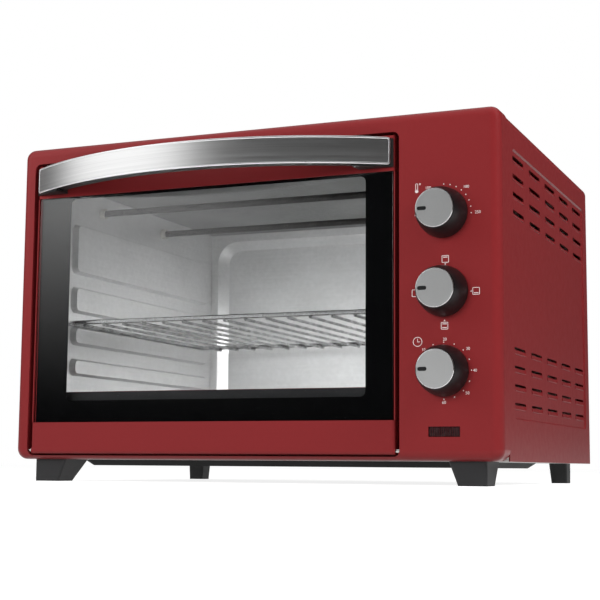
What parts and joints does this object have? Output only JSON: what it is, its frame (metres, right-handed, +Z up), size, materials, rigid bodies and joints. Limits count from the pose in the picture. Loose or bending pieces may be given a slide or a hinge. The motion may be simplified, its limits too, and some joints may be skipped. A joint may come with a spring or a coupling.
{
  "type": "electric table oven",
  "caption": "Free-standing electric table oven with a drop-down glass door, bowed handle, wire rack and a row of rotary knobs.",
  "frame": {"origin": "middle of the whole oven's footprint, at table height", "axes": "+X to the right as the user faces the oven, +Y back into the oven, +Z up"},
  "size_m": [0.486, 0.448, 0.328],
  "materials": {
    "red_case": "gloss enamel",
    "door_red": "gloss enamel",
    "glass_clear": "polished, with a black printed border",
    "band_steel": "brushed",
    "trim_chrome": "bright",
    "grip_black": "satin",
    "knob_black": "satin gloss",
    "cap_aluminium": "turned",
    "foot_black": "matt",
    "galvanised": "bright galvanised",
    "base_galvanised": "bright galvanised",
    "pan_black": "satin black",
    "tube_dark": "heat-darkened sheath",
    "bush_ceramic": "glazed ceramic",
    "rack_chrome": "plated wire",
    "lens_red": "clear dark red",
    "lamp_glass": "clear",
    "control_body": "moulded",
    "zinc": "zinc plated",
    "bell_steel": "plated",
    "gland_black": "matt",
    "terminal_white": "moulded"
  },
  "bodies": {
    "housing": {"base_plate": "base_galvanised", "cable_gland": "gland_black", "cavity_back_wall": "galvanised", "cavity_ceiling": "galvanised", "cavity_floor": "galvanised", "cavity_left_wall": "galvanised", "cavity_right_wall": "galvanised", "control_nuts": "zinc", "foot_front_left": "foot_black", "foot_front_right": "foot_black", "foot_rear_left": "foot_black", "foot_rear_right": "foot_black", "foot_screws": "zinc", "front_frame": "red_case", "function_control": "control_body", "heat_shield": "galvanised", "heater_bushes": "bush_ceramic", "hinge_pins": "zinc", "lower_front_heater": "tube_dark", "lower_rear_heater": "tube_dark", "outer_cover": "red_case", "pilot_lamp": "lamp_glass", "pilot_lens": "lens_red", "rear_cover": "base_galvanised", "rear_screws": "zinc", "terminal_block": "terminal_white", "thermostat_control": "control_body", "timer_bell": "bell_steel", "timer_control": "control_body", "underside_pan": "pan_black", "upper_front_heater": "tube_dark", "upper_rear_heater": "tube_dark"},
    "door": {"door_top_rail": "door_red", "door_bottom_rail": "door_red", "door_side_left": "door_red", "door_side_right": "door_red", "door_glass": "glass_clear", "glass_clips": "zinc", "door_stay_left": "zinc", "door_stay_right": "zinc", "handle_band": "band_steel", "handle_trim": "trim_chrome", "handle_grip": "grip_black", "handle_screws": "zinc"},
    "rack": {"wire_rack": "rack_chrome"},
    "thermostat_control_knob": {"thermostat_knob": "knob_black", "thermostat_cap": "cap_aluminium", "thermostat_shaft": "zinc"},
    "function_control_knob": {"function_knob": "knob_black", "function_cap": "cap_aluminium", "function_shaft": "zinc"},
    "timer_control_knob": {"timer_knob": "knob_black", "timer_cap": "cap_aluminium", "timer_shaft": "zinc"}
  },
  "joints": [
    {"name": "door_hinge", "type": "hinge", "parent": "housing", "child": "door", "pos_m": [-0.0383, -0.163, 0.0295], "axis": [1, 0, 0], "range_deg": [0, 82]},
    {"name": "rack_slide", "type": "slide", "parent": "housing", "child": "rack", "axis": [0, -1, 0], "range_m": [0, 0.165]},
    {"name": "thermostat_turn", "type": "hinge", "parent": "housing", "child": "thermostat_control_knob", "pos_m": [0.192, -0.167, 0.2354], "axis": [0, 1, 0], "range_deg": [0, 180]},
    {"name": "function_turn", "type": "hinge", "parent": "housing", "child": "function_control_knob", "pos_m": [0.192, -0.167, 0.1667], "axis": [0, 1, 0], "range_deg": [0, 270]},
    {"name": "timer_turn", "type": "hinge", "parent": "housing", "child": "timer_control_knob", "pos_m": [0.192, -0.167, 0.098], "axis": [0, 1, 0], "range_deg": [0, 270]}
  ],
  "couplings": [
    {"joint": "rack_slide", "follows": "door_hinge", "m_per_rad": 0.115}
  ]
}
